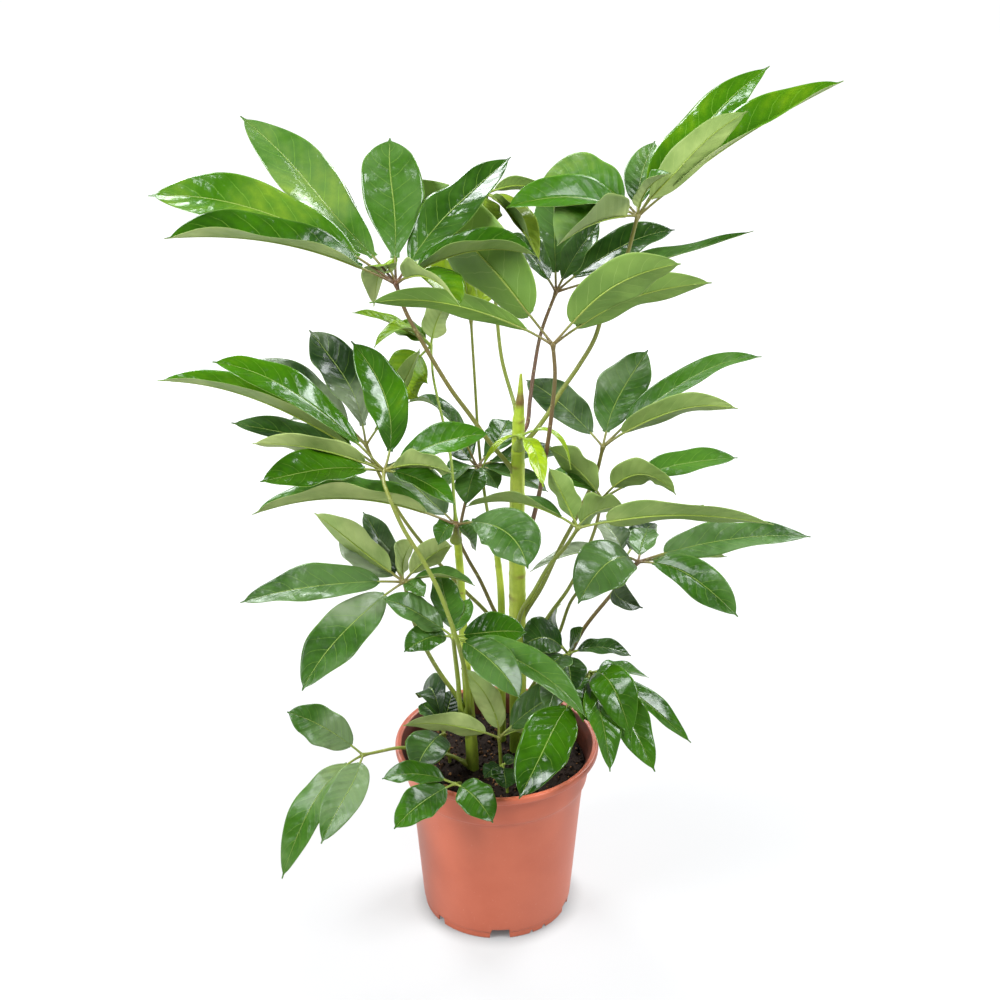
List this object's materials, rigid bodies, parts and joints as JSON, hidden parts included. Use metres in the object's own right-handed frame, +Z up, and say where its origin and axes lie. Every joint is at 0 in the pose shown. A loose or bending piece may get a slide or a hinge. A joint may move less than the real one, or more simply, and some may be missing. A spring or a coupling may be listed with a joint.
{
  "type": "potted umbrella plant",
  "caption": "Leafy umbrella plant with several upright stems and palmate leaves on long stalks, standing in a round tapered plastic nursery pot filled with soil.",
  "frame": {"origin": "centre of the pot's underside, on the small rest pad, at the floor", "axes": "+Z up along the pot's axis; -Y towards the viewer of the picture; +X to the viewer's right"},
  "size_m": [0.735, 0.4149, 0.9907],
  "materials": {
    "terracotta": "satin",
    "soil": "matte",
    "bark": "satin",
    "leaf": "gloss",
    "young_leaf": "satin"
  },
  "bodies": {
    "root": {"pot": "terracotta", "stem_main": "bark", "stem_left": "bark", "stem_back": "bark", "frond_top_left": "leaf", "frond_top_right": "leaf", "frond_centre": "leaf", "frond_crown": "leaf", "frond_upper_back": "leaf", "frond_upper_left_back": "leaf", "frond_young": "young_leaf", "frond_left": "leaf", "frond_left_back": "leaf", "frond_inner": "leaf", "frond_right": "leaf", "frond_right_middle": "leaf", "frond_centre_right": "leaf", "frond_lower_right": "leaf", "frond_lower_right_back": "leaf", "frond_middle": "leaf", "frond_lower_left": "leaf", "frond_low_front": "leaf", "frond_low_back": "leaf", "frond_low_right": "leaf", "frond_over_rim": "leaf", "seedling_centre": "leaf", "seedling_front": "leaf", "seedling_left": "leaf", "seedling_back": "leaf", "frond_beside_pot": "leaf", "young_leaves": "young_leaf", "soil": "soil"}
  },
  "joints": []
}
